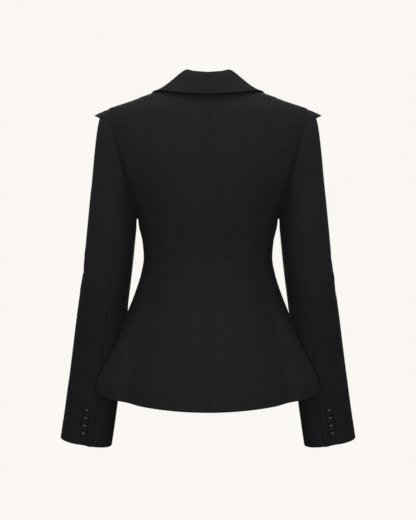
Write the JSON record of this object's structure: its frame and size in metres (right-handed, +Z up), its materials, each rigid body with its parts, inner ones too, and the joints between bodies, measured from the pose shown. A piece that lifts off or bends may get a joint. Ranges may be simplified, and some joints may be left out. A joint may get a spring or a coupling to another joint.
{
  "type": "fitted blazer",
  "caption": "Fitted hourglass blazer in its worn, hollow form, with notched collar and lapels, princess seamed back, flared hem, pointed shoulder flanges and buttoned two-piece sleeves.",
  "frame": {"origin": "midway between the shoulders at shoulder height, inside the neck opening, where the wearer carries the garment", "axes": "+Z up along the wearer's spine, the back of the garment faces -Y, the wearer's right side is +X"},
  "size_m": [0.5912, 0.2701, 0.7401],
  "materials": {
    "cloth": "matte black suiting, fine even weave",
    "button": "satin black"
  },
  "bodies": {
    "root": {"back_left": "cloth", "back_right": "cloth", "side_back_left": "cloth", "side_back_right": "cloth", "front_left": "cloth", "front_right": "cloth", "lapel_left": "cloth", "lapel_right": "cloth", "collar": "cloth", "upper_sleeve_left": "cloth", "upper_sleeve_right": "cloth", "under_sleeve_left": "cloth", "under_sleeve_right": "cloth", "shoulder_point_left": "cloth", "shoulder_point_right": "cloth", "cuff_button_left_1": "button", "cuff_button_left_2": "button", "cuff_button_left_3": "button", "cuff_button_left_4": "button", "cuff_button_right_1": "button", "cuff_button_right_2": "button", "cuff_button_right_3": "button", "cuff_button_right_4": "button", "front_button": "button"}
  },
  "joints": []
}
